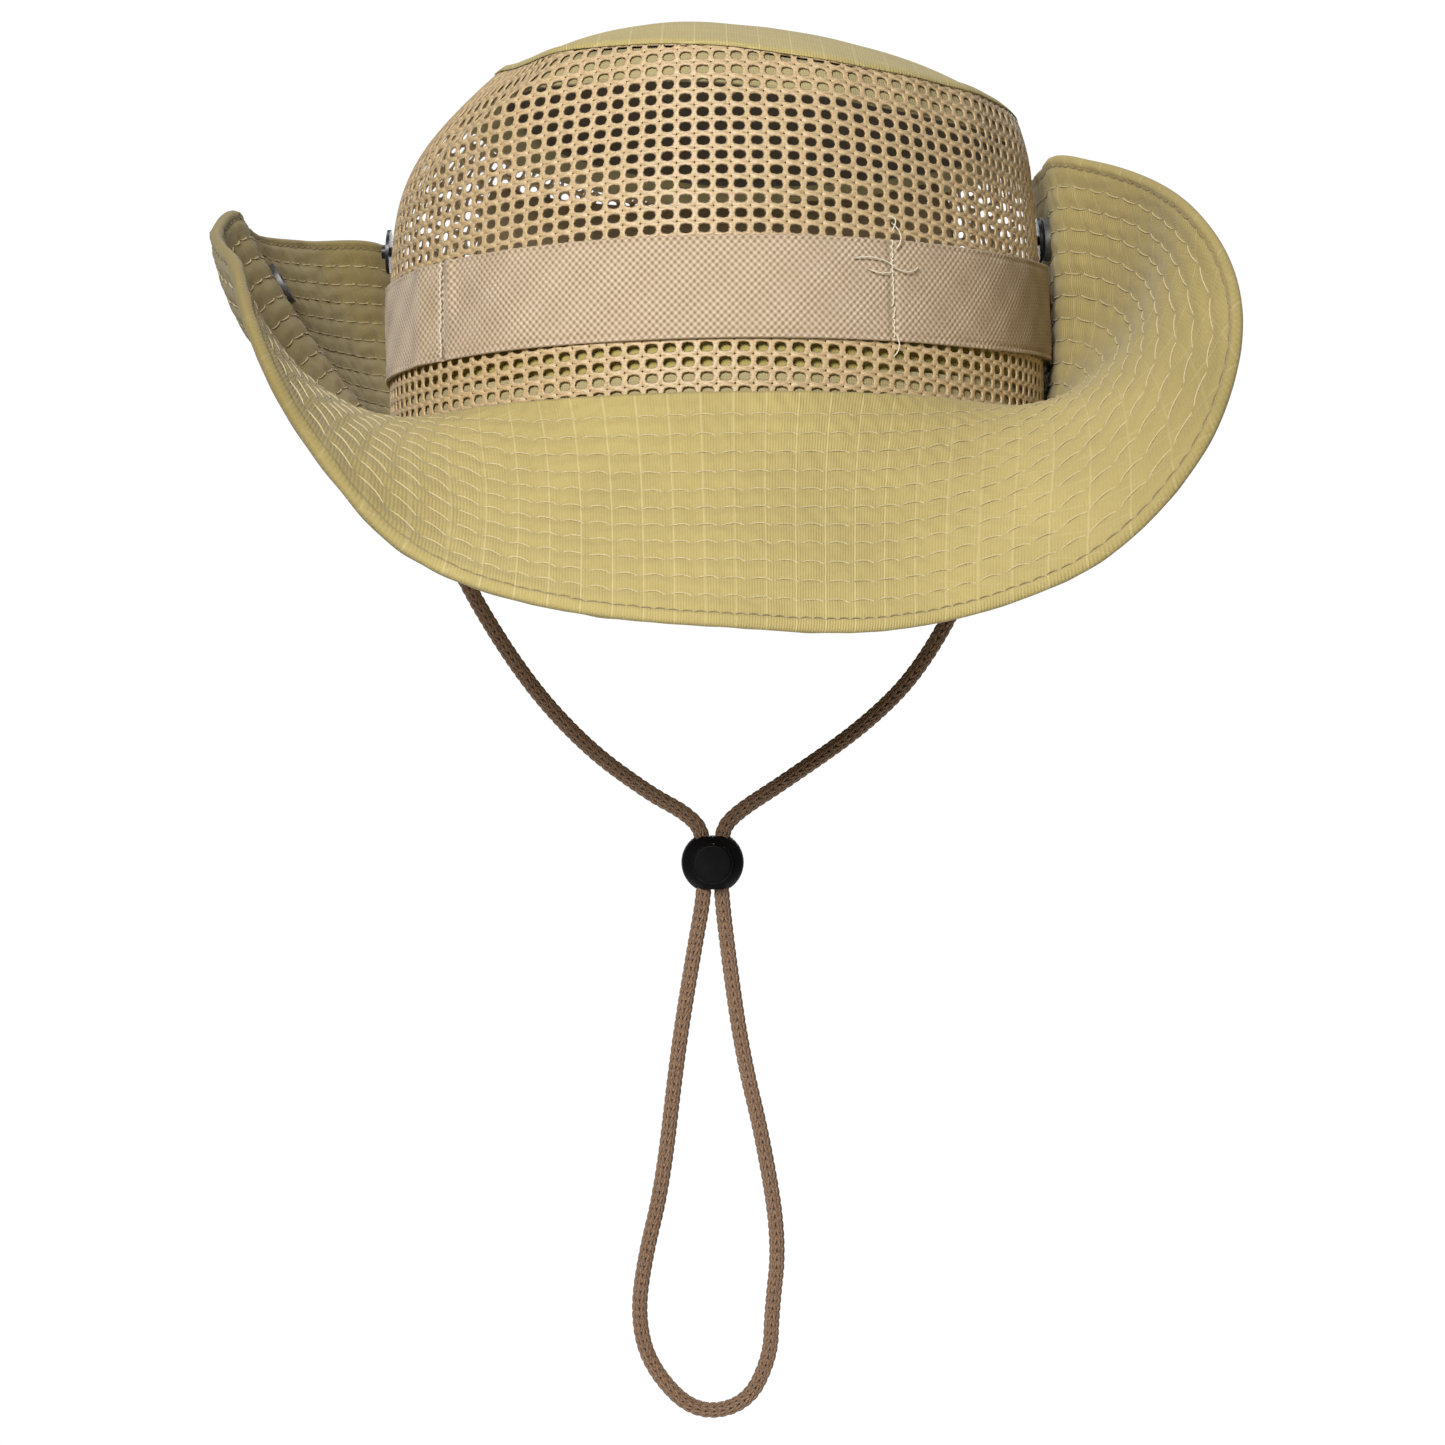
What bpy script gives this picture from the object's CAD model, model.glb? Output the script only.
import bpy
import math
import numpy as np
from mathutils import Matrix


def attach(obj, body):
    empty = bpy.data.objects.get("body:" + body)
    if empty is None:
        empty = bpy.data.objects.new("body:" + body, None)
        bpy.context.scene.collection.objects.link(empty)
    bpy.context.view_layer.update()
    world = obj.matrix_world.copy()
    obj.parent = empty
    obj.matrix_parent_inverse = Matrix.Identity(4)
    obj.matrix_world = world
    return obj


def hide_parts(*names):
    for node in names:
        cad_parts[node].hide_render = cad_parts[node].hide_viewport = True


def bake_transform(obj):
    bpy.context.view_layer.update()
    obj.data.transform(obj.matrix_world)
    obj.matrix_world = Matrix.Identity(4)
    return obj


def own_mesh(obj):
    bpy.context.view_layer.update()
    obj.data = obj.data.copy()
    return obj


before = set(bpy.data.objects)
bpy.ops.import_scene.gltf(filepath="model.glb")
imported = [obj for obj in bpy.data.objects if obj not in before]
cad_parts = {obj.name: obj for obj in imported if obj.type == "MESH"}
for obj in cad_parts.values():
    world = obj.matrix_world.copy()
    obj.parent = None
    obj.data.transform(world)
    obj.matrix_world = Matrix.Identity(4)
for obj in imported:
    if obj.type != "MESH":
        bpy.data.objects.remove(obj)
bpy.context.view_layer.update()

# ---------------------------------------------------------------- driving dimensions, in metres
MM = 0.001
HEAD_HALF_WIDTH = 89.0 * MM
HEAD_HALF_LENGTH = 96.0 * MM
MEAN_RADIUS = (HEAD_HALF_WIDTH + HEAD_HALF_LENGTH) / 2
BRIM_WIDTH = 74.0 * MM
SEAM_OFFSET = 1.5 * MM
BRIM_HALF_THICKNESS = 1.2 * MM
TOP_HEIGHT = 107.5 * MM
BAND_BOTTOM = 15.0 * MM
BAND_WIDTH = 25.0 * MM
SWEATBAND_HEIGHT = 30.0 * MM
CORD_RADIUS = 2.0 * MM
ROW_SPACING = 6.0 * MM          # between the brim's rows of quilting
FIRST_ROW = 5.5 * MM            # brim seam to the innermost row
ROWS = 11
HEM_STITCH = 3.0 * MM           # hem stitch to the brim's edge
STITCH_LENGTH = 7.0 * MM
THREAD_RADIUS = 0.2 * MM
CELL_WIDTH = 4.7 * MM           # hole to hole of the crown mesh, across
CELL_HEIGHT = 3.6 * MM          # row to row
RIPSTOP_PITCH = 8.0 * MM

# Shape of the brim: bearing, rise and curl in degrees. It is the CAD model's, but for bearings 128 to
# 160 behind the left wing, where the edge stands up to 9 mm off the CAD model's.
BRIM_STATIONS = [
    (0, 89, 9),
    (9, 89, 9),
    (22, 84, 18),
    (38, 62, 30),
    (54, 24, 32),
    (70, -12, 18),
    (90, -28, 8),
    (112, -8, 18),
    (128, 35, 30),
    (144, 65, 21),
    (160, 61, 12),
    (171, 57, 9),
    (180, 57, 9),
    (188, 57, 10),
    (198, 50, 34),
    (208, 43, 46),
    (218, 33, 45),
    (227, 14, 40),
    (235, -8, 32),
    (243, -31, 24),
    (254, -43, 14),
    (270, -49, 8),
    (290, -49, 6),
    (303, -37, 8),
    (312, -15, 14),
    (320, 12, 22),
    (328, 42, 38),
    (337, 64, 42),
    (345, 80, 32),
    (352, 88, 11),
]

# The crown as it slumps when worn: bearing, height of the top seam, and the height from which the
# wall leans in. Millimetres.
CROWN_STATIONS = [
    (0, 83, 96),
    (45, 86, 96),
    (90, 89, 94),
    (120, 93, 86),
    (150, 97, 80),
    (180, 99, 77),
    (200, 96, 75),
    (216, 93, 75),
    (232, 91, 81),
    (246, 89.5, 90),
    (270, 87.5, 96),
    (300, 83, 96),
    (330, 82, 96),
]

# Route of the chin cord from the left tab through the lock, round the loop and up to the right tab.
# Millimetres: x, z, then y.
CORD_ROUTE = [
    (-84.4, -3.0, 0.0),
    (-74.6, -30.0, -0.8),
    (-56.2, -62.6, 0.5),
    (-38.5, -83.5, 1.0),
    (-20.5, -97.2, 0.4),
    (-10.6, -102.6, 0.0),
    (-5.55, -108.1, 0.0),
    (-5.55, -123.7, 0.0),
    (-9.0, -140.9, 0.5),
    (-14.0, -168.8, 1.5),
    (-18.6, -204.5, -0.5),
    (-24.0, -225.0, -1.5),
    (-26.2, -241.0, -0.5),
    (-23.0, -255.0, 0.8),
    (-11.2, -268.4, 2.0),
    (3.4, -266.4, 2.5),
    (10.2, -253.0, 1.8),
    (10.7, -240.5, 0.5),
    (13.2, -220.6, -1.0),
    (9.3, -193.5, 0.5),
    (3.8, -169.0, 1.0),
    (0.4, -141.1, 0.0),
    (-1.25, -123.7, 0.0),
    (-1.25, -108.1, 0.0),
    (3.6, -102.7, 0.0),
    (15.6, -95.3, -0.5),
    (40.6, -78.6, 0.8),
    (56.6, -62.0, 0.5),
    (72.2, -32.4, -1.0),
    (84.4, -3.0, 0.0),
]
LOCK_HEIGHT = -116.4 * MM


# ---------------------------------------------------------------- mesh helpers
def add_piece(name, points, faces, material, uv=None, smooth=True):
    """A mesh object from arrays of points and faces; uv holds one pair for each point."""
    mesh = bpy.data.meshes.new(name)
    faces = faces.tolist() if isinstance(faces, np.ndarray) else faces
    mesh.from_pydata(np.asarray(points, float).reshape(-1, 3).tolist(), [], faces)
    mesh.materials.append(material)
    mesh.polygons.foreach_set("use_smooth", [smooth] * len(mesh.polygons))
    if uv is not None:
        corner = np.zeros(len(mesh.loops), int)
        mesh.loops.foreach_get("vertex_index", corner)
        layer = mesh.uv_layers.new(name="cloth")
        layer.data.foreach_set("uv", np.asarray(uv, float).reshape(-1, 2)[corner].ravel())
    mesh.update()
    piece = bpy.data.objects.new(name, mesh)
    bpy.context.scene.collection.objects.link(piece)
    return piece


def grid_faces(rows, columns, close_rows=False, close_columns=False):
    """Quads of a grid whose points are numbered row by row."""
    row = np.arange(rows if close_rows else rows - 1)
    column = np.arange(columns if close_columns else columns - 1)
    r, c = np.meshgrid(row, column, indexing="ij")
    r_next = (r + 1) % rows
    c_next = (c + 1) % columns
    quads = [r * columns + c, r_next * columns + c, r_next * columns + c_next, r * columns + c_next]
    return np.stack(quads, -1).reshape(-1, 4)


def tube_rings(line, up, radius, sides):
    """Rings round each of many lines. line and up have the shape (lines, steps, 3)."""
    along = np.gradient(line, axis=1)
    along /= np.linalg.norm(along, axis=-1, keepdims=True)
    side = np.cross(along, up)
    side /= np.linalg.norm(side, axis=-1, keepdims=True)
    over = np.cross(side, along)
    turn = np.arange(sides) * 2 * math.pi / sides
    radius = np.broadcast_to(radius, line.shape[:2])[..., None, None]
    ring = side[:, :, None] * np.cos(turn)[:, None] + over[:, :, None] * np.sin(turn)[:, None]
    return line[:, :, None] + ring * radius


def tube_faces(lines, steps, sides, caps=True):
    """Quads of the rings that tube_rings makes, with a cap at each end."""
    one = grid_faces(steps, sides, close_columns=True).tolist()
    if caps:
        one.append(list(range(sides))[::-1])
        one.append(list(range((steps - 1) * sides, steps * sides)))
    size = steps * sides
    return [[i + n * size for i in face] for n in range(lines) for face in one]


def ripple(bearing, along, length, seed, waves=7):
    """A smooth uneven field, about -1 to 1, with bumps of about that length, that closes round the hat."""
    rng = np.random.default_rng(seed)
    girth = 2 * math.pi * MEAN_RADIUS
    total = np.zeros(np.broadcast(bearing, along).shape)
    for _ in range(waves):
        turn = rng.uniform(0, 2 * math.pi)
        pitch = length * rng.uniform(0.7, 1.6)
        phase = rng.uniform(0, 2 * math.pi)
        cycles = round(math.cos(turn) * girth / pitch)
        climb = math.sin(turn) * 2 * math.pi / pitch
        total += np.sin(np.radians(bearing) * cycles + along * climb + phase)
    return total / waves ** 0.5 / 1.4


# ---------------------------------------------------------------- shape of brim and crown
def station_values(stations, bearing):
    """The stations' values at each bearing, on a smooth closed curve. The last axis holds the values."""
    table = np.array(stations, float)
    before = table[-2:].copy()
    before[:, 0] -= 360
    after = table[:3].copy()
    after[:, 0] += 360
    table = np.vstack([before, table, after])
    bearing = np.mod(np.asarray(bearing, float), 360)
    i = np.clip(np.searchsorted(table[:, 0], bearing, side="right") - 1, 1, len(table) - 3)
    span = (table[i + 1, 0] - table[i, 0])[..., None]
    t = (bearing - table[i, 0])[..., None] / span
    here, there = table[i, 1:], table[i + 1, 1:]
    slope_here = (there - table[i - 1, 1:]) / (table[i + 1, 0] - table[i - 1, 0])[..., None] * span
    slope_there = (table[i + 2, 1:] - here) / (table[i + 2, 0] - table[i, 0])[..., None] * span
    return (
        (2 * t ** 3 - 3 * t ** 2 + 1) * here
        + (t ** 3 - 2 * t ** 2 + t) * slope_here
        + (3 * t ** 2 - 2 * t ** 3) * there
        + (t ** 3 - t ** 2) * slope_there
    )


def oval_frame(bearing):
    """Point on the oval of the head and the level outward direction, at each bearing in degrees."""
    angle = np.radians(bearing)
    flat = np.zeros_like(angle)
    root = np.stack([HEAD_HALF_WIDTH * np.cos(angle), HEAD_HALF_LENGTH * np.sin(angle), flat], -1)
    out = np.stack([np.cos(angle) / HEAD_HALF_WIDTH, np.sin(angle) / HEAD_HALF_LENGTH, flat], -1)
    return root, out / np.linalg.norm(out, axis=-1, keepdims=True)


def brim_middle(bearing, reach):
    """Middle surface of the brim, reach metres out from the seam along the cloth."""
    bearing, reach = np.broadcast_arrays(np.asarray(bearing, float), np.asarray(reach, float))
    values = np.radians(station_values(BRIM_STATIONS, bearing))
    rise, curl = values[..., 0], values[..., 1]
    start = rise - curl
    here = start + 2 * curl * reach / BRIM_WIDTH
    chord = reach * np.sinc((here - start) / 2 / math.pi)
    slope = (start + here) / 2
    root, out = oval_frame(bearing)
    level = SEAM_OFFSET + chord * np.cos(slope)
    return root + out * level[..., None] + np.stack([0 * chord, 0 * chord, chord * np.sin(slope)], -1)


def brim_normal(bearing, reach):
    """Unit normal on the brim's upper side."""
    along = brim_middle(bearing + 0.4, reach) - brim_middle(bearing - 0.4, reach)
    out = brim_middle(bearing, reach + 0.4 * MM) - brim_middle(bearing, reach - 0.4 * MM)
    normal = np.cross(out, along)
    return normal / np.linalg.norm(normal, axis=-1, keepdims=True)


def flat_brim(bearing, reach):
    """Where a point of the brim lies in the cloth as it was cut, for the weave."""
    angle = np.radians(bearing)
    radius = MEAN_RADIUS + reach
    return np.stack([radius * np.cos(angle), radius * np.sin(angle)], -1)


def soft_step(x, width):
    """Zero below x = 0 and x above it, with a rounded corner."""
    return width * np.logaddexp(0, x / width)


def shoulder_fold(bearing, height):
    """The soft ridge, with a hollow above it, that climbs round the front left of the crown."""
    b = np.mod(bearing, 360)
    along = np.clip((b - 206) / 56, 0, 1)
    ridge = (62 + 37 * along) * MM
    strength = np.sin(math.pi * along) ** 0.7
    over = height - ridge
    bulge = 2.2 * MM * np.exp(-(over / (5 * MM)) ** 2)
    hollow = 3.6 * MM * np.exp(-((over - 10 * MM) / (6 * MM)) ** 2)
    free = np.clip((top_seam_height(bearing) - height) / (12 * MM), 0, 1)
    return strength * (bulge - hollow) * free


def crown_point(bearing, height, outset=0.0):
    """A point of the crown wall at a bearing and height, moved outward by outset."""
    bearing, height = np.broadcast_arrays(np.asarray(bearing, float), np.asarray(height, float))
    onset = station_values(CROWN_STATIONS, bearing)[..., 1] * MM
    up = np.clip(height / (88 * MM), 0, 1.3)
    lean = 5.5 * MM * up ** 3 + soft_step(height - onset, 8 * MM)
    free = np.clip((height - 30 * MM) / (40 * MM), 0, 1) ** 2
    sway = ripple(bearing, height, 55 * MM, 5) * 1.1 * MM + ripple(bearing, height, 26 * MM, 8) * 0.35 * MM
    root, out = oval_frame(bearing)
    near_snap = np.exp(-(np.sin(np.radians(bearing)) / 0.22) ** 2)
    moved = (sway * free + shoulder_fold(bearing, height)) * (1 - near_snap) - lean + outset
    return root + out * moved[..., None] + np.stack([0 * height, 0 * height, height], -1)


def crown_normal(bearing, height):
    """Unit outward normal of the crown wall."""
    along = crown_point(bearing + 0.6, height) - crown_point(bearing - 0.6, height)
    up = crown_point(bearing, height + 0.8 * MM) - crown_point(bearing, height - 0.8 * MM)
    normal = np.cross(along, up)
    return normal / np.linalg.norm(normal, axis=-1, keepdims=True)


def crown_lift(bearing, height, lift):
    """A point lift metres off the crown wall, along its own normal."""
    lift = np.broadcast_to(lift, np.broadcast(bearing, height).shape)
    return crown_point(bearing, height) + crown_normal(bearing, height) * lift[..., None]


def top_seam_height(bearing):
    """Height at which the mesh wall meets the top panel."""
    return station_values(CROWN_STATIONS, bearing)[..., 0] * MM


# ---------------------------------------------------------------- materials
class Surface:
    """A material built from nodes, in metres of the object's own space or of a cloth map."""

    def __init__(self, name, colour, roughness, **shader):
        self.material = bpy.data.materials.new(name)
        self.material.use_nodes = True
        self.nodes = self.material.node_tree.nodes
        self.links = self.material.node_tree.links
        self.shader = self.nodes["Principled BSDF"]
        self.shader.inputs["Base Color"].default_value = (*colour, 1)
        self.shader.inputs["Roughness"].default_value = roughness
        for key, value in shader.items():
            self.shader.inputs[key.replace("_", " ")].default_value = value
        self.material.diffuse_color = (*colour, 1)

    def node(self, kind, settings=None, **inputs):
        """A node with its inputs set or linked, by name or, as i0, i1 and so on, by number."""
        made = self.nodes.new(kind)
        for key, value in (settings or {}).items():
            setattr(made, key, value)
        for key, value in inputs.items():
            by_number = key[0] == "i" and key[1:].isdigit()
            socket = made.inputs[int(key[1:]) if by_number else key.replace("_", " ")]
            if isinstance(value, bpy.types.NodeSocket):
                self.links.new(value, socket)
            else:
                socket.default_value = value
        return made

    def place(self, kind="Object"):
        return self.node("ShaderNodeTexCoord").outputs[kind]

    def cloth_map(self):
        return self.node("ShaderNodeUVMap", {"uv_map": "cloth"}).outputs["UV"]

    def math(self, operation, a, b=0.0, c=0.0):
        return self.node("ShaderNodeMath", {"operation": operation}, i0=a, i1=b, i2=c).outputs[0]

    def noise(self, vector, scale, detail=2.0):
        return self.node("ShaderNodeTexNoise", Vector=vector, Scale=scale, Detail=detail).outputs["Fac"]

    def ramp(self, value, *stops):
        """A colour ramp through (position, colour) stops."""
        made = self.node("ShaderNodeValToRGB", Fac=value)
        ramp = made.color_ramp
        while len(ramp.elements) < len(stops):
            ramp.elements.new(0.5)
        for element, (position, colour) in zip(ramp.elements, stops):
            element.position = position
            element.color = (*colour, 1)
        return made.outputs["Color"]

    def mix(self, share, a, b, blend="MIX"):
        made = self.node("ShaderNodeMix", {"data_type": "RGBA", "blend_type": blend})
        for index, value in ((0, share), (6, a), (7, b)):
            if isinstance(value, bpy.types.NodeSocket):
                self.links.new(value, made.inputs[index])
            elif index == 0:
                made.inputs[index].default_value = value
            else:
                made.inputs[index].default_value = (*value, 1)
        return made.outputs[2]

    def colour(self, socket):
        self.links.new(socket, self.shader.inputs["Base Color"])

    def rough(self, socket):
        self.links.new(socket, self.shader.inputs["Roughness"])

    def bump(self, height, distance, strength=1.0):
        made = self.node("ShaderNodeBump", Height=height, Distance=distance, Strength=strength)
        self.links.new(made.outputs["Normal"], self.shader.inputs["Normal"])


def stripes(s, coordinate, pitch):
    """0 to 1 and back once each pitch."""
    wave = s.math("SINE", s.math("MULTIPLY", coordinate, 2 * math.pi / pitch))
    return s.math("MULTIPLY_ADD", wave, 0.5, 0.5)


def lines(s, coordinate, pitch, width):
    """1 on thin lines a pitch apart and 0 between them."""
    share = s.math("FRACT", s.math("DIVIDE", coordinate, pitch))
    off = s.math("ABSOLUTE", s.math("SUBTRACT", share, 0.5))
    return s.math("GREATER_THAN", off, 0.5 - width / pitch / 2)


def ripstop(name, colour, pale, follows_ring=True):
    """Khaki ripstop: fine ribs, a grid of heavier yarns, cloudy fading, and wings shaded darker by place.

    On the brim, follows_ring keeps only the yarns that run outward, since the quilting hides the others.
    """
    s = Surface(name, colour, 0.85, Sheen_Weight=0.12, Sheen_Roughness=0.5)
    split = s.node("ShaderNodeSeparateXYZ", Vector=s.cloth_map())
    x, y = split.outputs["X"], split.outputs["Y"]
    square_x = s.math("MULTIPLY", x, x)
    square_y = s.math("MULTIPLY", y, y)
    total = s.math("ADD", s.math("ADD", square_x, square_y), 1e-6)
    share_x = s.math("DIVIDE", square_y, total) if follows_ring else 0.8
    share_y = s.math("DIVIDE", square_x, total) if follows_ring else 0.8
    off_middle = s.math("ADD", x, RIPSTOP_PITCH / 2)
    heavy_x = s.math("MULTIPLY", lines(s, off_middle, RIPSTOP_PITCH, 0.5 * MM), share_x)
    heavy_y = s.math("MULTIPLY", lines(s, y, RIPSTOP_PITCH, 0.5 * MM), share_y)
    grid = s.math("MAXIMUM", heavy_x, heavy_y)
    rib_x = s.math("MULTIPLY", stripes(s, x, 0.72 * MM), share_x)
    rib_y = s.math("MULTIPLY", stripes(s, y, 0.72 * MM), share_y)
    rib = s.math("ADD", rib_x, rib_y)
    cloudy = s.noise(s.place(), 38.0, 4.0)
    fleck = s.noise(s.place(), 900.0, 2.0)
    dark = tuple(0.82 * c for c in colour)
    tone = s.ramp(cloudy, (0.3, dark), (0.7, colour))
    tone = s.mix(s.math("MULTIPLY", fleck, 0.35), tone, pale)
    tone = s.mix(s.math("MULTIPLY", rib, 0.30), tone, dark)
    tone = s.mix(s.math("MULTIPLY", grid, 0.55), tone, pale)
    across = s.node("ShaderNodeSeparateXYZ", Vector=s.place()).outputs["X"]
    right_wing = s.node("ShaderNodeMapRange", i0=across, i1=0.075, i2=0.115).outputs["Result"]
    left_wing = s.node("ShaderNodeMapRange", i0=across, i1=-0.060, i2=-0.100).outputs["Result"]
    wing_shade = s.math("MAXIMUM", s.math("MULTIPLY", right_wing, 0.35), s.math("MULTIPLY", left_wing, 0.6))
    tone = s.mix(wing_shade, tone, (0.13, 0.088, 0.020))
    s.colour(tone)
    s.rough(s.math("MULTIPLY_ADD", fleck, 0.2, 0.7))
    height = s.math("SUBTRACT", grid, s.math("MULTIPLY", rib, 0.8))
    s.bump(height, 0.14 * MM, 0.9)
    return s.material


def webbing_material():
    """Tan polyester webbing with a basket weave, a soft sheen, and its right end shaded amber by place."""
    colour = (0.48, 0.36, 0.235)
    s = Surface("webbing", colour, 0.45, Sheen_Weight=0.25, Sheen_Roughness=0.35)
    split = s.node("ShaderNodeSeparateXYZ", Vector=s.cloth_map())
    x, y = split.outputs["X"], split.outputs["Y"]
    wave_x = s.math("SUBTRACT", stripes(s, x, 1.9 * MM), 0.5)
    wave_y = s.math("SUBTRACT", stripes(s, y, 1.9 * MM), 0.5)
    weave = s.math("MULTIPLY", wave_x, wave_y)
    over = s.math("MULTIPLY_ADD", weave, 2.0, 0.5)
    fibre = s.math("MULTIPLY", stripes(s, x, 0.24 * MM), 0.25)
    cloudy = s.noise(s.place(), 60.0, 3.0)
    tone = s.ramp(over, (0.0, (0.20, 0.125, 0.065)), (0.5, colour), (1.0, (0.70, 0.56, 0.41)))
    tone = s.mix(s.math("MULTIPLY", cloudy, 0.3), tone, (0.46, 0.34, 0.21))
    to_right = s.node("ShaderNodeSeparateXYZ", Vector=s.place()).outputs["X"]
    right_end = s.node("ShaderNodeMapRange", i0=to_right, i1=0.066, i2=0.086).outputs["Result"]
    tone = s.mix(s.math("MULTIPLY", right_end, 0.6), tone, (0.17, 0.095, 0.022))
    s.colour(tone)
    s.rough(s.math("MULTIPLY_ADD", cloudy, 0.25, 0.32))
    s.bump(s.math("ADD", over, fibre), 0.22 * MM, 0.9)
    return s.material


def mesh_material():
    """Glossy tan polyester yarn of the crown mesh."""
    colour = (0.54, 0.39, 0.205)
    s = Surface("crown_mesh", colour, 0.42, Sheen_Weight=0.2, Sheen_Roughness=0.3)
    drawn_out = s.node("ShaderNodeMapping", Vector=s.place(), Scale=(1, 1, 3)).outputs["Vector"]
    yarn = s.noise(drawn_out, 1400.0, 2.0)
    cloudy = s.noise(s.place(), 30.0, 3.0)
    tone = s.ramp(yarn, (0.3, (0.36, 0.245, 0.12)), (0.7, (0.64, 0.48, 0.28)))
    tone = s.mix(s.math("MULTIPLY", cloudy, 0.35), tone, colour)
    s.colour(tone)
    s.rough(s.math("MULTIPLY_ADD", yarn, 0.3, 0.3))
    s.bump(yarn, 0.12 * MM, 0.7)
    return s.material


def plain_cloth(name, colour, pitch=0.7 * MM):
    """Plain woven cotton tape or lining."""
    s = Surface(name, colour, 0.9, Sheen_Weight=0.1)
    split = s.node("ShaderNodeSeparateXYZ", Vector=s.cloth_map())
    weave = s.math("MULTIPLY", stripes(s, split.outputs["X"], pitch), stripes(s, split.outputs["Y"], pitch))
    cloudy = s.noise(s.place(), 50.0, 3.0)
    s.colour(s.ramp(cloudy, (0.3, tuple(0.8 * c for c in colour)), (0.7, colour)))
    s.bump(weave, 0.12 * MM, 0.8)
    return s.material


def thread_material(name, colour):
    """Twisted sewing thread."""
    s = Surface(name, colour, 0.6, Sheen_Weight=0.2)
    twist = s.noise(s.place(), 2500.0, 1.0)
    s.colour(s.ramp(twist, (0.3, tuple(0.75 * c for c in colour)), (0.7, colour)))
    s.bump(twist, 0.05 * MM, 0.6)
    return s.material


def cord_material():
    """Brown polyester yarn of the chin cord, with dark flecks."""
    s = Surface("cord_yarn", (0.36, 0.22, 0.12), 0.55, Sheen_Weight=0.2)
    fibre = s.noise(s.place(), 1800.0, 2.0)
    cloudy = s.noise(s.place(), 45.0, 2.0)
    tone = s.ramp(fibre, (0.25, (0.10, 0.052, 0.026)), (0.75, (0.34, 0.20, 0.11)))
    tone = s.mix(s.math("MULTIPLY", cloudy, 0.4), tone, (0.16, 0.085, 0.045))
    s.colour(tone)
    s.bump(fibre, 0.10 * MM, 0.8)
    return s.material


def plastic_material():
    """Satin black moulded plastic with a fine spark-eroded grain."""
    s = Surface("lock_plastic", (0.005, 0.005, 0.006), 0.5, Specular_IOR_Level=0.06)
    grain = s.noise(s.place(), 1600.0, 3.0)
    wear = s.noise(s.place(), 160.0, 3.0)
    s.colour(s.ramp(wear, (0.35, (0.0035, 0.0035, 0.004)), (0.8, (0.009, 0.009, 0.010))))
    s.rough(s.math("MULTIPLY_ADD", wear, 0.25, 0.35))
    s.bump(grain, 0.04 * MM, 0.5)
    return s.material


def metal_material(name, colour, metallic, roughness):
    """Pressed metal with fine scratches."""
    s = Surface(name, colour, roughness, Metallic=metallic)
    drawn_out = s.node("ShaderNodeMapping", Vector=s.place(), Scale=(1, 6, 1)).outputs["Vector"]
    scratch = s.noise(drawn_out, 900.0, 3.0)
    dull = tuple(0.7 * c for c in colour)
    bright = tuple(min(1.3 * c, 1) for c in colour)
    s.colour(s.ramp(scratch, (0.3, dull), (0.75, bright)))
    s.rough(s.math("MULTIPLY_ADD", scratch, 0.3, roughness - 0.1))
    s.bump(scratch, 0.02 * MM, 0.4)
    return s.material


KHAKI = (0.44, 0.345, 0.115)
KHAKI_PALE = (0.62, 0.52, 0.24)
materials = {
    "ripstop": ripstop("ripstop", KHAKI, KHAKI_PALE),
    "top_ripstop": ripstop("top_ripstop", KHAKI, KHAKI_PALE, follows_ring=False),
    "webbing": webbing_material(),
    "mesh": mesh_material(),
    "tape": plain_cloth("tape", (0.40, 0.33, 0.16)),
    "sweatband": plain_cloth("sweatband", (0.42, 0.34, 0.10), 0.9 * MM),
    "lining": plain_cloth("lining", (0.46, 0.34, 0.19), 0.9 * MM),
    "dark_lining": plain_cloth("dark_lining", (0.075, 0.052, 0.026), 0.9 * MM),
    "pale_thread": thread_material("pale_thread", (0.58, 0.48, 0.24)),
    "white_thread": thread_material("white_thread", (0.80, 0.74, 0.58)),
    "dark_thread": thread_material("dark_thread", (0.26, 0.20, 0.09)),
    "cord": cord_material(),
    "cord_core": thread_material("cord_core", (0.035, 0.018, 0.009)),
    "plastic": plastic_material(),
    "enamel": metal_material("black_enamel", (0.02, 0.02, 0.022), 0.3, 0.35),
    "steel": metal_material("plated_steel", (0.17, 0.165, 0.16), 0.9, 0.5),
}


# ---------------------------------------------------------------- camera, light and floor
def make_camera():
    """Level with the middle of the picture, 0.8 m in front of the hat, rolled a degree."""
    data = bpy.data.cameras.new("camera")
    picture_width = 0.3974
    distance = 0.8
    data.sensor_width = 36
    data.lens = data.sensor_width * distance / picture_width
    camera = bpy.data.objects.new("camera", data)
    camera.location = (0, -distance, -0.078)
    camera.rotation_euler = (math.radians(90), math.radians(1.0), 0)
    bpy.context.scene.collection.objects.link(camera)
    bpy.context.scene.camera = camera


def area_light(name, place, target, size, power):
    """A round soft light at a place, aimed at the target."""
    data = bpy.data.lights.new(name, "AREA")
    data.shape = "DISK"
    data.size = size
    data.energy = power
    light = bpy.data.objects.new(name, data)
    light.location = place
    aim = np.array(target) - np.array(place)
    light.rotation_euler = (
        math.atan2(math.hypot(aim[0], aim[1]), -aim[2]),
        0,
        math.atan2(aim[1], aim[0]) - math.pi / 2,
    )
    bpy.context.scene.collection.objects.link(light)


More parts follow.
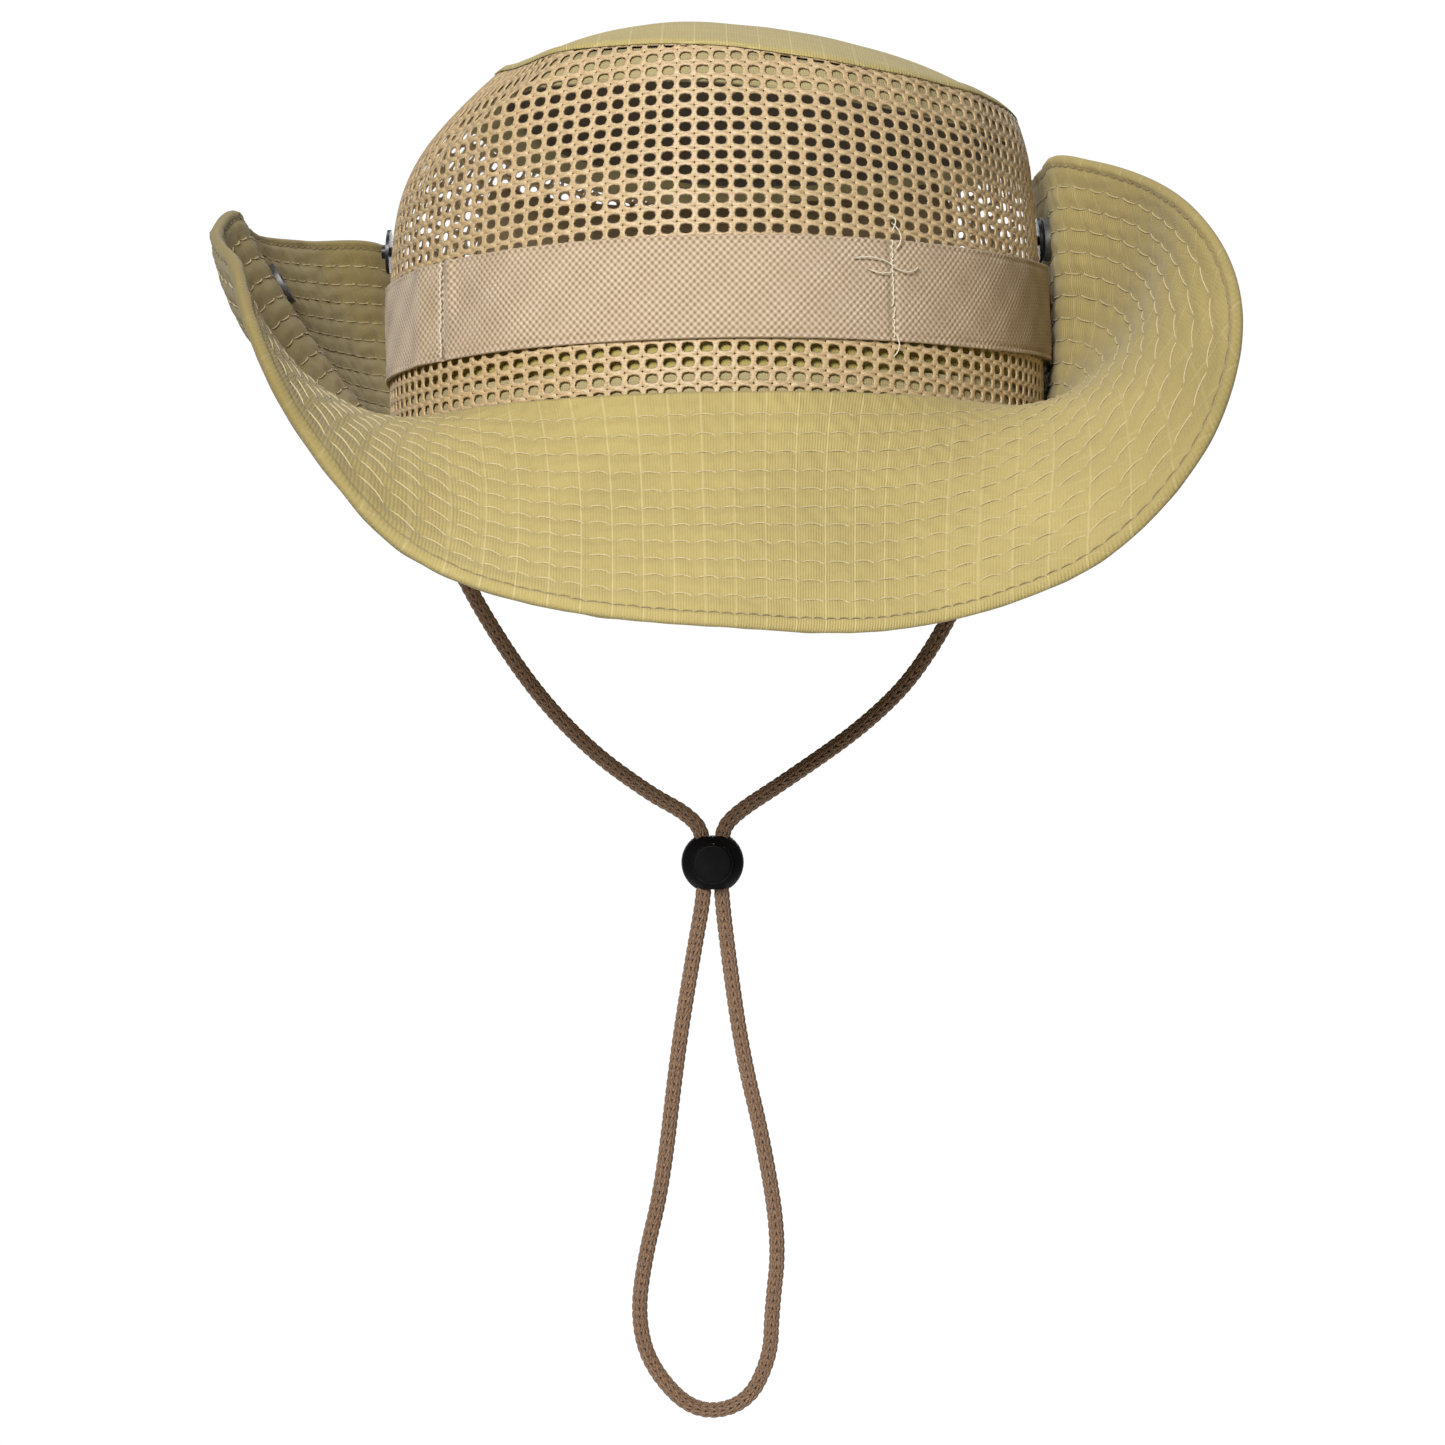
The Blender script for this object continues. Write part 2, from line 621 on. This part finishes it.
def make_stage():
    """Pale floor below the hanging cord, the studio round it, and three soft lights."""
    floor_height = -0.62
    half = 1.1                      # half the floor's side
    square = ((-half, -half), (half, -half), (half, half), (-half, half))
    corners = [(x, y, floor_height) for x, y in square]
    pale = Surface("floor", (0.9, 0.9, 0.9), 0.8)
    cloudy = pale.noise(pale.place(), 3.0)
    pale.colour(pale.ramp(cloudy, (0.0, (0.88, 0.88, 0.88)), (1.0, (0.92, 0.92, 0.92))))
    floor = add_piece("floor", corners, [(0, 1, 2, 3)], pale.material, smooth=False)
    make_world()
    area_light("key", (-0.28, -1.22, 0.40), (0, 0, 0), 0.4, 20)
    area_light("back", (0.0, 1.3, 0.1), (0, 0, -0.02), 0.7, 9)
    area_light("top", (0.0, 0.3, 1.3), (0, 0, 0), 0.6, 6)
    bpy.context.scene.view_settings.view_transform = "Standard"


def make_world():
    """Dim grey studio, white behind the hat."""
    world = bpy.data.worlds.new("studio")
    world.use_nodes = True
    nodes = world.node_tree.nodes
    links = world.node_tree.links
    direction = nodes.new("ShaderNodeTexCoord")
    split = nodes.new("ShaderNodeSeparateXYZ")
    spread = nodes.new("ShaderNodeMapRange")
    spread.inputs["From Min"].default_value = 0.84
    spread.inputs["From Max"].default_value = 0.94
    shade = nodes.new("ShaderNodeMix")
    shade.data_type = "RGBA"
    shade.inputs[6].default_value = (0.115, 0.108, 0.098, 1)
    shade.inputs[7].default_value = (1.02, 1.02, 1.02, 1)
    links.new(direction.outputs["Generated"], split.inputs[0])
    links.new(split.outputs["Y"], spread.inputs["Value"])
    links.new(spread.outputs["Result"], shade.inputs[0])
    links.new(shade.outputs[2], nodes["Background"].inputs["Color"])
    bpy.context.scene.world = world


make_camera()
make_stage()


# ---------------------------------------------------------------- chin cord
def cord_line():
    """Points along the smooth line of the cord's route, from the left tab to the right tab."""
    data = bpy.data.curves.new("route", "CURVE")
    data.dimensions = "3D"
    data.resolution_u = 24
    spline = data.splines.new("NURBS")
    spline.points.add(len(CORD_ROUTE) - 1)
    for point, (x, z, y) in zip(spline.points, CORD_ROUTE):
        point.co = (x * MM, y * MM, z * MM, 1)
    spline.order_u = 3
    spline.use_endpoint_u = True
    route = bpy.data.objects.new("route", data)
    mesh = bpy.data.meshes.new_from_object(route)
    points = np.array([v.co for v in mesh.vertices], float)
    bpy.data.objects.remove(route)
    bpy.data.meshes.remove(mesh)
    return points


def even(points, spacing):
    """The same line with points an even distance apart."""
    length = np.concatenate([[0], np.cumsum(np.linalg.norm(np.diff(points, axis=0), axis=1))])
    count = max(int(round(length[-1] / spacing)), 2)
    at = np.linspace(0, length[-1], count + 1)
    return np.stack([np.interp(at, length, points[:, k]) for k in range(3)], -1)


def line_frame(points):
    """Sideways and outward directions of a line that hangs in a plane facing the front."""
    along = np.gradient(points, axis=0)
    along /= np.linalg.norm(along, axis=1, keepdims=True)
    front = np.tile([0.0, -1.0, 0.0], (len(points), 1))
    side = np.cross(along, front)
    side /= np.linalg.norm(side, axis=1, keepdims=True)
    return side, np.cross(side, along)


WALES = 5                       # columns of knitted stitches round the cord
KNIT_PITCH = 2.3 * MM
FINE_STEP = 0.25 * MM           # between the points that the strands are laid from


def knitted_cord(name, points):
    """A dark core and columns of V-shaped knitted stitches laid round it, along the points."""
    fine = even(points, FINE_STEP)
    side, front = line_frame(fine)
    length = FINE_STEP * (len(fine) - 1)

    def on_cord(distance, turn, radius):
        at = np.clip(distance / FINE_STEP, 0, len(fine) - 1.001)
        low = at.astype(int)
        part = (at - low)[..., None]
        centre = fine[low] * (1 - part) + fine[low + 1] * part
        outward = side[low] * np.cos(turn)[..., None] + front[low] * np.sin(turn)[..., None]
        return centre + outward * radius[..., None]

    steps = 6
    t = np.linspace(0, 1, steps)
    stitches = int(length / KNIT_PITCH) + 1
    lines_made = []
    ups = []
    for wale in range(WALES):
        middle = 2 * math.pi * (wale + 0.25) / WALES
        start = (np.arange(stitches) - 0.4)[:, None] * KNIT_PITCH
        for lean in (-1, 1):
            distance = start + t * 1.7 * KNIT_PITCH
            turn = middle + lean * math.pi / WALES * (0.98 - 0.92 * t) + 0 * distance
            radius = CORD_RADIUS * (0.72 + 0.18 * np.sin(math.pi * np.clip(t * 1.05, 0, 1))) + 0 * distance
            lines_made.append(on_cord(distance, turn, radius))
            ups.append(on_cord(distance, turn, radius * 2) - lines_made[-1])
    line = np.concatenate(lines_made)
    up = np.concatenate(ups)
    up /= np.linalg.norm(up, axis=-1, keepdims=True)
    thick = 0.42 * MM * (0.55 + 0.45 * np.sin(math.pi * np.clip(t * 0.9 + 0.08, 0, 1)))
    strands = tube_rings(line, up, np.tile(thick, (len(line), 1)), 6).reshape(-1, 3)
    strand_faces = tube_faces(len(line), steps, 6)
    core_line = even(points, 1.2 * MM)
    _, core_front = line_frame(core_line)
    core = tube_rings(core_line[None], core_front[None], CORD_RADIUS * 0.72, 10).reshape(-1, 3)
    core_faces = [[i + len(strands) for i in face] for face in tube_faces(1, len(core_line), 10)]
    piece = add_piece(name, np.vstack([strands, core]), strand_faces + core_faces, materials["cord"])
    piece.data.materials.append(materials["cord_core"])
    slots = [0] * len(strand_faces) + [1] * len(core_faces)
    piece.data.polygons.foreach_set("material_index", slots)
    return piece


def make_cord():
    """One cord in three stretches, so that it can bend as the lock slides: two legs and the loop."""
    points = even(cord_line(), 1.0 * MM)
    in_lock = np.where(np.diff(np.sign(points[:, 2] - LOCK_HEIGHT)))[0]
    first, last = in_lock[0] + 1, in_lock[-1] + 1
    stretches = {
        "chin_cord_left_leg": points[:first + 1],
        "chin_cord_loop": points[first:last + 1],
        "chin_cord_right_leg": points[last:][::-1],
    }
    for name, line in stretches.items():
        piece = knitted_cord(name, line)
        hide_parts("chin_cord")
        if name.endswith("leg"):
            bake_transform(piece)
        else:
            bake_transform(piece)


make_cord()


# ---------------------------------------------------------------- brim
def row_reaches():
    """How far out from the seam each row of quilting runs."""
    return [FIRST_ROW + ROW_SPACING * k for k in range(ROWS)]


def stitch_count(reach):
    """Stitches in a whole turn of a row."""
    radius = MEAN_RADIUS + reach
    return int(round(2 * math.pi * radius / STITCH_LENGTH))


def brim_swell(bearing, reach):
    """How far either face of the brim swells from its flat thickness between the rows."""
    row = np.clip(np.round((reach - FIRST_ROW) / ROW_SPACING), 0, ROWS - 1)
    off = np.abs(reach - FIRST_ROW - row * ROW_SPACING) / (ROW_SPACING / 2)
    hem = reach > FIRST_ROW + ROW_SPACING * (ROWS - 0.5)
    puff = 0.42 * MM * np.clip(off, 0, 1) ** 0.6
    radius = MEAN_RADIUS + FIRST_ROW + row * ROW_SPACING
    phase = np.radians(bearing + 90) * np.round(2 * math.pi * radius / STITCH_LENGTH)
    dip = 0.16 * MM * (0.5 + 0.5 * np.cos(phase)) * np.exp(-(off / 0.55) ** 2)
    pucker = ripple(bearing, reach, 5 * MM, 21) * 0.16 * MM
    to_hem = np.abs(reach - (BRIM_WIDTH - HEM_STITCH))
    groove = 0.55 * MM * np.exp(-(to_hem / (0.7 * MM)) ** 2)
    swell = np.where(hem, 0.45 * MM * np.clip(off, 0, 1) ** 0.5, puff) - dip + pucker - groove
    return swell


def brim_wave(bearing, reach):
    """The slow unevenness of the whole brim, the same for both faces."""
    free = np.clip(reach / BRIM_WIDTH, 0, 1)
    near_snap = np.exp(-(np.sin(np.radians(bearing)) / 0.2) ** 2)
    return ripple(bearing, reach, 45 * MM, 33) * MM * free * (1 - near_snap)


def brim_face(bearing, reach, lift):
    """A point lift metres over the middle of the brim, with the brim's slow waves."""
    total = lift + brim_wave(bearing, reach)
    return brim_middle(bearing, reach) + brim_normal(bearing, reach) * total[..., None]


def brim_skin(name, first, last):
    """Both faces and the rounded edge of half the brim, as one closed cloth."""
    columns = 470
    rows = 96
    sliver = 0.02
    spread = np.linspace(first + sliver, last - sliver, columns - 2)
    bearing = np.concatenate([[first], spread, [last]])[:, None]
    inner = -1.2 * MM
    outer = BRIM_WIDTH - BRIM_HALF_THICKNESS
    reach = np.linspace(inner, outer, rows)
    turn = np.radians([30, 60, 90, 120, 150])
    edge_reach = outer + BRIM_HALF_THICKNESS * np.sin(turn)
    edge_lift = BRIM_HALF_THICKNESS * np.cos(turn)
    upper = brim_face(bearing, reach + 0 * bearing, BRIM_HALF_THICKNESS + brim_swell(bearing, reach))
    rim = brim_face(bearing, edge_reach + 0 * bearing, edge_lift + 0 * bearing)
    back = reach[::-1]
    lower = brim_face(bearing, back + 0 * bearing, -BRIM_HALF_THICKNESS - brim_swell(bearing, back))
    points = np.concatenate([upper, rim, lower], axis=1)
    round_reach = np.concatenate([reach, edge_reach, reach[::-1]])
    cloth = flat_brim(bearing, round_reach + 0 * bearing)
    ring = points.shape[1]
    faces = grid_faces(columns, ring, close_columns=True).tolist()
    faces.append(list(range(ring))[::-1])
    faces.append(list(range((columns - 1) * ring, columns * ring)))
    skin = add_piece(name, points, faces, materials["ripstop"], cloth)
    for end in skin.data.polygons[-2:]:
        end.use_smooth = False
    return skin


def thread_row(bearings, reach, span, face, rise):
    """One run of stitches on the brim: each lies on the cloth and dives in at both ends."""
    t = np.linspace(0, 1, 6)
    bearing = bearings[:, None] + span * (0.06 + 0.88 * t)
    reach = np.full(bearing.shape, reach) + 0.5 * MM * (2 * t - 1) ** 4
    surface = face * (BRIM_HALF_THICKNESS + brim_swell(bearing, reach))
    over = rise * np.sin(math.pi * t) ** 0.5 - 0.12 * MM
    line = brim_face(bearing, reach, surface + face * over)
    up = brim_normal(bearing, reach)
    return line, up


def brim_stitches(name, first, last):
    """The quilting rows of half the brim on both faces."""
    rng = np.random.default_rng(11)
    all_lines = []
    all_ups = []
    for reach in row_reaches():
        count = stitch_count(reach)
        span = 360 / count
        for face in (1, -1):
            start = (np.arange(count) + (0 if face == 1 else 0.5)) * span - 90
            start = start[(start >= first) & (start < last)]
            wander = rng.normal(0, 0.12 * MM)
            line, up = thread_row(start, reach + wander, span, face, 0.34 * MM)
            all_lines.append(line)
            all_ups.append(up)
    line = np.concatenate(all_lines)
    up = np.concatenate(all_ups)
    points = tube_rings(line, up, THREAD_RADIUS, 5).reshape(-1, 3)
    return add_piece(name, points, tube_faces(len(line), 6, 5), materials["pale_thread"])


def hem_stitches(name, first, last):
    """The hem stitch near the edge, shorter and darker."""
    reach = BRIM_WIDTH - HEM_STITCH
    count = stitch_count(reach) * 2
    span = 360 / count
    start = np.arange(count) * span - 90
    start = start[(start >= first) & (start < last)]
    parts = [thread_row(start, reach, span, face, 0.30 * MM) for face in (1, -1)]
    line = np.concatenate([p[0] for p in parts])
    up = np.concatenate([p[1] for p in parts])
    points = tube_rings(line, up, THREAD_RADIUS, 5).reshape(-1, 3)
    return add_piece(name, points, tube_faces(len(line), 6, 5), materials["dark_thread"])


def make_brim():
    """Right and left halves, each bending from the crown to its own flap."""
    layers = ("upper", "interlining", "lower")
    for side, first, last, fixed in (("right", -90, 90, "brim_front"), ("left", 90, 270, "brim_rear")):
        skin = brim_skin(f"brim_{side}_half", first, last)
        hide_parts(*[f"{part}_{layer}" for part in (f"{side}_flap", fixed) for layer in layers])
        stitches = brim_stitches(f"brim_{side}_quilting", first, last)
        hem = hem_stitches(f"brim_{side}_hem_stitch", first, last)
        for piece, slot in ((skin, "ripstop"), (stitches, "thread"), (hem, "thread")):
            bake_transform(piece)


make_brim()


# ---------------------------------------------------------------- crown
def mesh_cell():
    """One cell of the mesh, round its middle: its outline, with a nick at each corner, and its oval hole."""
    half, high, nick = CELL_WIDTH / 2, CELL_HEIGHT / 2, 0.34 * MM
    quarter = [(half, 0), (half, high - nick), (half - nick, high), (0, high)]
    outline = quarter + [(-x, y) for x, y in quarter[2::-1]]
    outline = np.array(outline + [(x, -y) for x, y in outline[5:0:-1]])
    angle = np.arctan2(outline[:, 1] / high, outline[:, 0] / half)
    hole = np.stack([1.62 * MM * np.cos(angle), 1.14 * MM * np.sin(angle)], -1)
    return outline, hole


def crown_mesh(name, first_column, last_column):
    """The perforated wall between two columns of cells: ridged strands, oval holes and pin holes between."""
    outline, hole = mesh_cell()
    step = 360 / mesh_columns()
    rows = 31
    rng = np.random.default_rng(3)
    column, row = np.meshgrid(np.arange(first_column, last_column), np.arange(rows), indexing="ij")
    middle_bearing = (column.ravel() + 0.5) * step
    middle_height = (row.ravel() + 0.3) * CELL_HEIGHT
    reached = middle_height + mesh_drift(middle_bearing)
    keep = reached < top_seam_height(middle_bearing) + 0.5 * CELL_HEIGHT
    middle_bearing, middle_height = middle_bearing[keep], middle_height[keep]
    shapes = 1 + rng.normal(0, 0.05, (len(middle_bearing), 2))
    plain = np.ones_like(shapes)

    def place(shape, lift, stretch):
        bearing = middle_bearing[:, None] + shape[:, 0] * stretch[:, :1] / CELL_WIDTH * step
        height = middle_height[:, None] + shape[:, 1] * stretch[:, 1:] + mesh_drift(bearing)
        height = np.clip(height, 0.0, top_seam_height(bearing))
        return crown_lift(bearing, height, lift)

    ridge = hole + (outline - hole) * 0.4
    rings = [
        place(hole, 0.0, shapes),
        place(ridge, 0.36 * MM, plain),
        place(outline, 0.16 * MM, plain),
        place(outline, -0.28 * MM, plain),
    ]
    points = np.concatenate(rings, axis=1)
    sides = len(outline)
    k = np.arange(sides)
    k_next = (k + 1) % sides
    bands = []
    for near, far in ((0, 1), (1, 2), (3, 0)):
        near_row = near * sides
        far_row = far * sides
        bands.append(np.stack([k + near_row, k_next + near_row, k_next + far_row, k + far_row], -1))
    nicks = np.array([1, 4, 7, 10])
    face_row = nicks + 2 * sides
    back_row = nicks + 3 * sides
    bands.append(np.stack([face_row, face_row + 1, back_row + 1, back_row], -1))
    one = np.concatenate(bands)
    faces = (one[None] + (np.arange(len(points)) * len(rings) * sides)[:, None, None]).reshape(-1, 4)
    flat = points.reshape(-1, 3)
    grid = np.round(flat / (0.02 * MM)).astype(np.int64)
    _, first_of, merged = np.unique(grid, axis=0, return_index=True, return_inverse=True)
    faces = merged.ravel()[faces]
    whole = np.array([len(set(f)) == 4 for f in faces.tolist()])
    return add_piece(name, flat[first_of], faces[whole], materials["mesh"])


def mesh_columns():
    """Cells in one row round the crown."""
    return int(round(2 * math.pi * MEAN_RADIUS / CELL_WIDTH))


def mesh_drift(bearing):
    """The rows of the mesh wander a little up and down."""
    return 1.2 * MM * np.sin(np.radians(3 * bearing))


def wall_strip(name, low, high, lift, thickness, material,
               first=0.0, last=360.0, columns=360, steps=6, relief=None):
    """A closed strip of cloth that follows the crown wall between two heights, with relief on its face."""
    closed = last - first >= 360
    bearing = np.linspace(first, last, columns, endpoint=not closed)[:, None]
    face_share = np.linspace(0, 1, steps)
    back_share = np.linspace(1, 0, 4)
    share = np.concatenate([face_share, back_share])
    on_face = np.concatenate([np.ones(steps), np.zeros(4)])
    low_at = low(bearing) if callable(low) else low + 0 * bearing
    high_at = high(bearing) if callable(high) else high + 0 * bearing
    height = low_at + (high_at - low_at) * share
    around = np.radians(bearing) * MEAN_RADIUS + 0 * height
    upward = height - low_at
    extra = relief(bearing + 0 * height, around, upward) * on_face if relief else 0 * height
    points = crown_lift(bearing + 0 * height, height, lift + thickness * on_face + extra)
    faces = grid_faces(columns, len(share), close_rows=closed, close_columns=True).tolist()
    if not closed:
        faces.append(list(range(len(share))))
        faces.append(list(range((columns - 1) * len(share), columns * len(share)))[::-1])
    return add_piece(name, points, faces, materials[material], np.stack([around, upward], -1))


def dome_height(share, seam_height):
    """Height of the top panel: share is 1 at its sewn edge and 0 in the middle."""
    return seam_height + (TOP_HEIGHT - seam_height) * (1 - share ** 2.3)


def crown_top(name, offset, thickness, material):
    """The domed top panel, or its lining, from the sewn edge to the middle."""
    rings = 46
    columns = 240
    bearing = np.linspace(0, 360, columns, endpoint=False)[:, None]
    share = np.linspace(1, 0.0, rings)
    seam = crown_lift(bearing, top_seam_height(bearing), offset / 2)[:, 0]
    edge = seam[:, None] * np.array([1, 1, 0])
    middle = np.array([-6 * MM, 0, 0])
    level = middle + (edge - middle) * share[None, :, None]
    height = dome_height(share, seam[:, 2][:, None])
    sag = ripple(bearing, share * 90 * MM, 70 * MM, 14) * (1 - share ** 6) * share ** 2
    height = height + 0.9 * MM * sag
    height = height + 0.8 * MM * np.exp(-((share - 0.975) / 0.02) ** 2) + offset
    outer = level + np.stack([0 * height, 0 * height, height], -1)
    inner = level + np.stack([0 * height, 0 * height, height - thickness], -1)
    points = np.concatenate([outer, inner[:, ::-1]], axis=1)
    faces = grid_faces(columns, 2 * rings, close_rows=True, close_columns=True)
    return add_piece(name, points, faces, materials[material], points[..., :2])


def band_shift(bearing):
    """The webbing rises a little towards the right side."""
    return 3.2 * MM * np.exp(-(((bearing + 180) % 360 - 180 + 5) / 24.0) ** 2)


WEAVE_PITCH = 1.7 * MM


def band_relief(bearing, around, upward):
    """Basket weave, pinches where the webbing is tacked, a groove near each edge, and a proud end."""
    turn = bearing % 360
    weave = np.sin(around * 2 * math.pi / WEAVE_PITCH) * np.sin(upward * 2 * math.pi / WEAVE_PITCH)
    edge = np.minimum(upward, BAND_WIDTH - upward)
    selvedge = 0.25 * MM * np.exp(-((edge - 1.3 * MM) / (0.5 * MM)) ** 2)
    stitched = -0.9 * MM * np.exp(-((turn - 219.5) / 0.8) ** 2)
    gather = 1.2 * MM * np.exp(-((turn - 222.0) / 1.3) ** 2) * np.clip(upward / BAND_WIDTH, 0, 1)
    lean = 0.9 * MM * np.exp(-((turn - 213.0) / 2.6) ** 2)
    tack = -0.5 * MM * np.exp(-((turn - 299.0) / 0.7) ** 2)
    proud = 1.3 * MM * np.exp(-(((turn + 180) % 360 - 180 + 9) / 5.0) ** 2)
    slow = 0.3 * MM * ripple(bearing, upward, 40 * MM, 17)
    return 0.15 * MM * weave - selvedge + stitched + gather + lean + tack + proud + slow


def band_threads(name):
    """The tacks of the webbing: fine stitches up each, and loose thread ends at the front one."""
    rng = np.random.default_rng(29)
    lines_made = []
    low, high = BAND_BOTTOM / MM + 1, (BAND_BOTTOM + BAND_WIDTH) / MM - 1
    for bearing in (90, 158, 219.5, 299, 22):
        rise = float(band_shift(np.array(bearing))) / MM
        for height in np.arange(low, high, 1.5):
            ends = bearing + rng.normal(0, 0.12, 2)
            heights = np.array([height, height + 1.35]) + rise
            share = np.linspace(0, 1, 8)
            turn = ends[0] + (ends[1] - ends[0]) * share
            over = 1.35 * MM + 0.35 * MM * np.sin(math.pi * share)
            lines_made.append(crown_lift(turn, (heights[0] + (heights[1] - heights[0]) * share) * MM, over))
    for start, middle, end in (
        ((299, 44.0), (301.5, 41.0), (299.6, 37.5)),
        ((299, 42.0), (300.6, 46.0), (297.8, 45.5)),
        ((299, 33.0), (302.0, 31.0), (303.6, 33.5)),
        ((299, 33.5), (295.5, 36.0), (292.0, 34.6)),
        ((299, 32.0), (296.5, 30.6), (294.2, 32.4)),
        ((299, 17.0), (300.2, 13.5), (298.6, 11.0)),
    ):
        t = np.linspace(0, 1, 8)[:, None]
        curve = (1 - t) ** 2 * np.array(start) + 2 * t * (1 - t) * np.array(middle) + t ** 2 * np.array(end)
        over = 1.9 * MM + 0.5 * MM * np.sin(math.pi * t[:, 0])
        lines_made.append(crown_lift(curve[:, 0], curve[:, 1] * MM, over))
    line = np.array(lines_made)
    up = line * np.array([1, 1, 0])
    up /= np.linalg.norm(up, axis=-1, keepdims=True)
    points = tube_rings(line, up + np.array([0, 0, 0.2]), 0.17 * MM, 6).reshape(-1, 3)
    return add_piece(name, points, tube_faces(len(line), 8, 6), materials["white_thread"])


def make_crown():
    """Every cloth piece of the crown, each with the CAD node it stands for and its slot."""
    columns = mesh_columns()
    half = columns // 2
    front = crown_mesh("crown_mesh_front", half, columns)
    back = crown_mesh("crown_mesh_back", 0, half)
    top = crown_top("crown_top", 0.5 * MM, 0.5 * MM, "top_ripstop")
    top_lining = crown_top("crown_top_lining", -2.6 * MM, 0.4 * MM, "dark_lining")
    band = wall_strip("hat_band_webbing", lambda b: BAND_BOTTOM + band_shift(b),
                      lambda b: BAND_BOTTOM + BAND_WIDTH + band_shift(b),
                      0.45 * MM, 0.9 * MM, "webbing", columns=1360, steps=58, relief=band_relief)
    tacks = band_threads("hat_band_stitches")
    sweat = wall_strip("sweatband_cotton", -0.6 * MM, SWEATBAND_HEIGHT, -3.0 * MM, 1.0 * MM, "sweatband")
    binding = wall_strip("brim_seam_tape", -0.5 * MM, 8 * MM, -1.7 * MM, 1.0 * MM, "tape")
    top_tape = wall_strip("top_seam_inside", lambda b: top_seam_height(b) - 9 * MM,
                          lambda b: top_seam_height(b) - 0.3 * MM, -1.4 * MM, 0.9 * MM, "tape")
    back_lining = wall_strip("crown_back_lining", SWEATBAND_HEIGHT + 1 * MM, 80 * MM, -1.5 * MM, 0.8 * MM,
                             "lining", first=35, last=145, columns=120, steps=12)
    stands_for = (
        (front, "crown_mesh_wall", "mesh"),
        (back, "crown_mesh_wall", "mesh"),
        (top, "crown_top_panel", "ripstop"),
        (top_lining, "crown_top_panel", "ripstop"),
        (band, "hat_band", "webbing"),
        (tacks, "hat_band_tacks", "thread"),
        (sweat, "sweatband", "sweatband_cloth"),
        (binding, "brim_seam_binding", "tape"),
        (top_tape, "top_seam_tape", "tape"),
        (back_lining, "back_lining", "mesh"),
    )
    for piece, node, slot in stands_for:
        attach(piece, "crown")
        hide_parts(node)


make_crown()


# ---------------------------------------------------------------- spring of the cord lock
def make_lock_spring():
    """A coil from the plunger's back to the bore's blind end, which flattens as the button is pressed."""
    wire = 0.3 * MM
    gap = 0.1 * MM                  # free space at each end of the coil
    plunger_back = 3.4 * MM
    bore_end = 6.6 * MM
    front = plunger_back + gap + wire
    back = bore_end - gap - wire
    turns = 3
    steps = 97
    across = -3.4 * MM
    level = LOCK_HEIGHT
    angle = np.linspace(0, 2 * math.pi * turns, steps)
    coil_radius = 4.0 * MM
    line = np.stack([
        across + coil_radius * np.cos(angle),
        front + (back - front) * angle / angle[-1],
        level + coil_radius * np.sin(angle),
    ], -1)[None]
    outward = line - np.array([across, 0, level])
    outward[..., 1] = 0
    points = tube_rings(line, outward, wire, 10).reshape(-1, 3)
    spring = add_piece("lock_spring_coil", points, tube_faces(1, steps, 10), materials["steel"])
    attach(spring, "cord_lock")
    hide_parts("lock_spring")
    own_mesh(spring)


make_lock_spring()


# ---------------------------------------------------------------- CAD nodes that show
def paint(node, material):
    """Gives a CAD node's object this material."""
    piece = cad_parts[node]
    if len(piece.material_slots) == 0:
        piece.data.materials.append(material)
    for place in piece.material_slots:
        place.material = material


def paint_cad():
    """Materials of the hard CAD parts and the cord anchors, which show as they are."""
    for side in ("left", "right"):
        paint(f"{side}_crown_snap_stud", materials["enamel"])
        paint(f"{side}_crown_snap_post", materials["steel"])
        paint(f"{side}_flap_snap_socket", materials["steel"])
        paint(f"{side}_flap_snap_cap", materials["enamel"])
        paint(f"{side}_cord_anchor", materials["webbing"])
    paint("lock_barrel", materials["plastic"])
    paint("lock_plunger", materials["plastic"])


paint_cad()
